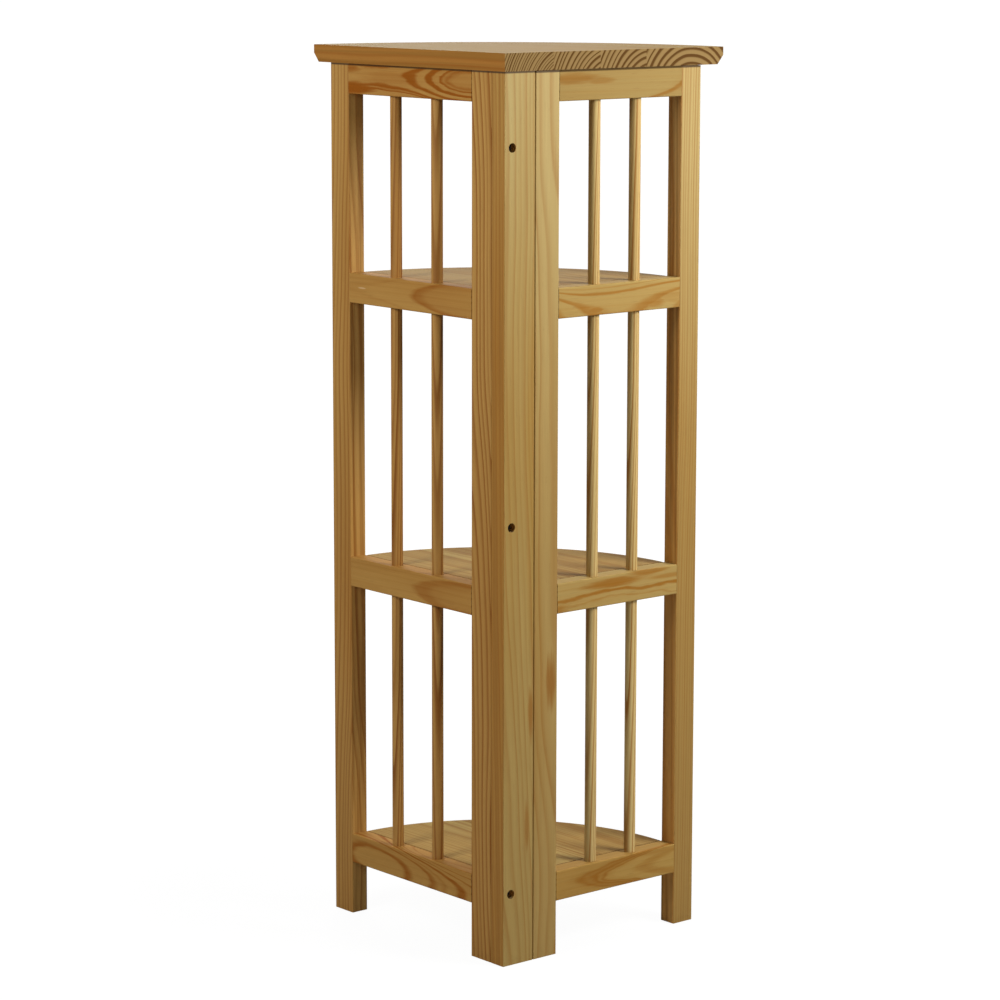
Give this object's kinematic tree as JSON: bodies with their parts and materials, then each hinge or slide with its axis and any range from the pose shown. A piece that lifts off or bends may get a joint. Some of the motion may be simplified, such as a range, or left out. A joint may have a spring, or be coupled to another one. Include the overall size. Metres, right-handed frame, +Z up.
{
  "type": "corner folding bookcase",
  "caption": "Folding corner bookcase in clear-finished pine: two hinged ladder panels, quarter-round shelves and a bevelled top board.",
  "frame": {"origin": "on the floor, under the middle of the box that holds the whole bookcase, which is the middle of the top board's box", "axes": "+Z up, +X along the right panel away from the room corner, +Y along the left panel away from the room corner"},
  "size_m": [0.3132, 0.3272, 0.979],
  "materials": {
    "pine": "satin clear lacquer",
    "zinc": "zinc plated",
    "dark_steel": "dark steel"
  },
  "bodies": {
    "frame": {"left_corner_post": "pine", "left_outer_post": "pine", "left_bottom_rail": "pine", "left_middle_rail": "pine", "left_upper_rail": "pine", "left_top_rail": "pine", "left_dowels_lower": "pine", "left_dowels_middle": "pine", "left_dowels_upper": "pine", "corner_board": "pine", "corner_board_screws": "dark_steel", "hinge_fixed_leaves": "zinc", "hinge_pins": "dark_steel", "hinge_screws_fixed": "zinc", "left_bottom_cleat": "pine", "left_middle_cleat": "pine", "left_upper_cleat": "pine", "left_cleat_screws": "zinc"},
    "right_panel": {"right_corner_post": "pine", "right_outer_post": "pine", "right_bottom_rail": "pine", "right_middle_rail": "pine", "right_upper_rail": "pine", "right_top_rail": "pine", "right_dowels_lower": "pine", "right_dowels_middle": "pine", "right_dowels_upper": "pine", "hinge_moving_leaves": "zinc", "hinge_screws_moving": "zinc", "right_bottom_cleat": "pine", "right_middle_cleat": "pine", "right_upper_cleat": "pine", "right_cleat_screws": "zinc"},
    "bottom_shelf": {"bottom_shelf": "pine"},
    "middle_shelf": {"middle_shelf": "pine"},
    "upper_shelf": {"upper_shelf": "pine"},
    "top": {"top_board": "pine", "top_pegs": "pine"}
  },
  "joints": [
    {"name": "right_panel_fold", "type": "hinge", "parent": "frame", "child": "right_panel", "pos_m": [-0.11462, -0.13955, 0.5175], "axis": [0, 0, 1], "range_deg": [0, 90]},
    {"name": "bottom_shelf_slide_out", "type": "slide", "parent": "frame", "child": "bottom_shelf", "axis": [0, 1, 0], "range_m": [0, 0.38]},
    {"name": "middle_shelf_slide_out", "type": "slide", "parent": "frame", "child": "middle_shelf", "axis": [0, 1, 0], "range_m": [0, 0.38]},
    {"name": "upper_shelf_slide_out", "type": "slide", "parent": "frame", "child": "upper_shelf", "axis": [0, 1, 0], "range_m": [0, 0.38]},
    {"name": "top_board_lift_off", "type": "slide", "parent": "frame", "child": "top", "axis": [0, 0, 1], "range_m": [0, 0.06]}
  ],
  "couplings": [
    {"joint": "bottom_shelf_slide_out", "follows": "right_panel_fold", "m_per_rad": 0.2419},
    {"joint": "middle_shelf_slide_out", "follows": "right_panel_fold", "m_per_rad": 0.2419},
    {"joint": "upper_shelf_slide_out", "follows": "right_panel_fold", "m_per_rad": 0.2419}
  ]
}
